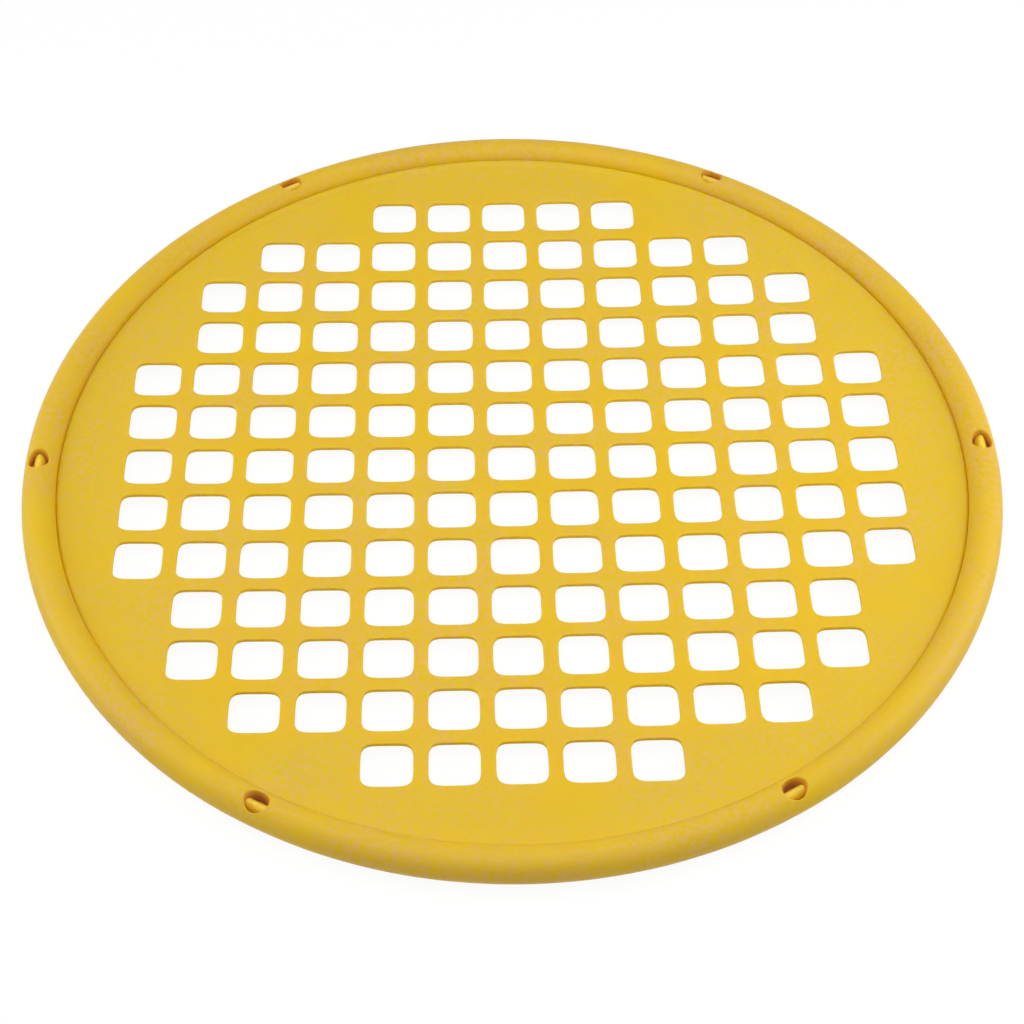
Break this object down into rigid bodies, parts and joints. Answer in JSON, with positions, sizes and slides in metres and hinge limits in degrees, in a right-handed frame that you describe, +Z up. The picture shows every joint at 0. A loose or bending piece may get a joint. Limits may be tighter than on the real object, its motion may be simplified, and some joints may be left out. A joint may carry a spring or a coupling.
{
  "type": "hand exercise web",
  "caption": "Round elastic rubber net with square finger holes, held in a thick round rubber rim over a stiff hoop, for hand and finger exercise.",
  "frame": {"origin": "middle of the ring, on the surface that the rim rests on", "axes": "+Z up, out of the web's upper face; X runs along the rows of holes, and Y along the columns, away from the bare place of the moulded lettering"},
  "size_m": [0.3556, 0.3556, 0.0122],
  "materials": {
    "web_rubber": "matte",
    "rim_rubber": "matte",
    "hoop_plastic": "gloss"
  },
  "bodies": {
    "root": {"web_sheet": "web_rubber", "rim_jacket": "rim_rubber", "core_hoop": "hoop_plastic"}
  },
  "joints": []
}
